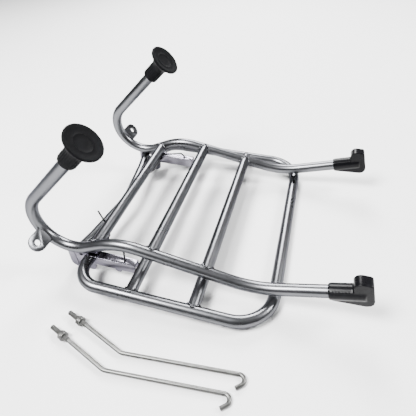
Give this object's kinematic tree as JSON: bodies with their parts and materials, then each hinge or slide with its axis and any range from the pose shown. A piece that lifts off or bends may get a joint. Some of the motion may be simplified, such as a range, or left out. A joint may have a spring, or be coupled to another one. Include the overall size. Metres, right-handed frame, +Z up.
{
  "type": "folding scooter luggage rack",
  "caption": "Chromed tube luggage rack for a scooter, folded flat: bent fixed frame with rubber feet and hook caps, sprung folding platform loop, and loose J rods for fixing.",
  "frame": {"origin": "under the middle of the whole, on the table that the folded rack and the rods lie on", "axes": "+X from the rubber feet to the hook caps, +Y to the left, +Z up"},
  "size_m": [0.4384, 0.4414, 0.2306],
  "materials": {
    "chrome_tube": "bright chrome plate over steel",
    "zinc_steel": "dull zinc plate",
    "spring_wire": "dark oiled spring wire",
    "black_rubber": "matt",
    "black_plastic": "glossy"
  },
  "bodies": {
    "platform": {"platform_loop": "chrome_tube", "platform_bar_1": "chrome_tube", "platform_bar_2": "chrome_tube", "platform_link_left": "chrome_tube", "platform_link_right": "chrome_tube", "hinge_pin_left": "zinc_steel", "hinge_pin_right": "zinc_steel", "hinge_nut_left": "zinc_steel", "hinge_nut_right": "zinc_steel", "torsion_spring_left": "spring_wire", "torsion_spring_right": "spring_wire"},
    "frame": {"long_tube_left": "chrome_tube", "long_tube_right": "chrome_tube", "frame_crossbar_1": "chrome_tube", "frame_crossbar_2": "chrome_tube", "frame_crossbar_3": "chrome_tube", "gusset_plate_left": "chrome_tube", "gusset_plate_right": "chrome_tube", "brace_tube": "chrome_tube", "fixing_tab_left": "chrome_tube", "fixing_tab_right": "chrome_tube", "rubber_foot_left": "black_rubber", "rubber_foot_right": "black_rubber", "hook_cap_left": "black_plastic", "hook_cap_right": "black_plastic"},
    "rod_a": {"j_rod_a": "zinc_steel"},
    "nut_a": {"rod_nut_a": "zinc_steel"},
    "washer_a": {"rod_washer_a": "zinc_steel"},
    "rod_b": {"j_rod_b": "zinc_steel"},
    "nut_b": {"rod_nut_b": "zinc_steel"},
    "washer_b": {"rod_washer_b": "zinc_steel"}
  },
  "joints": [
    {"name": "platform_fold", "type": "hinge", "parent": "platform", "child": "frame", "pos_m": [-0.14579, 0.04323, 0.02948], "axis": [0, -1, 0], "range_deg": [0, 90], "stiffness_Nm_per_rad": 0.4, "springref_deg": -22.92, "deforming": ["torsion_spring_left", "torsion_spring_right"]},
    {"name": "rod_a_lift", "type": "slide", "parent": "platform", "child": "rod_a", "axis": [0, 0, 1], "range_m": [0, 0.1]},
    {"name": "nut_a_screw", "type": "slide", "parent": "rod_a", "child": "nut_a", "axis": [-0.9396, 0.342, 0.0161], "range_m": [0, 0.03]},
    {"name": "washer_a_slide", "type": "slide", "parent": "rod_a", "child": "washer_a", "axis": [0.9396, -0.342, -0.0161], "range_m": [0, 0.05]},
    {"name": "rod_b_lift", "type": "slide", "parent": "platform", "child": "rod_b", "axis": [0, 0, 1], "range_m": [0, 0.1]},
    {"name": "nut_b_screw", "type": "slide", "parent": "rod_b", "child": "nut_b", "axis": [-0.9396, 0.342, 0.0161], "range_m": [0, 0.03]},
    {"name": "washer_b_slide", "type": "slide", "parent": "rod_b", "child": "washer_b", "axis": [0.9396, -0.342, -0.0161], "range_m": [0, 0.05]}
  ]
}
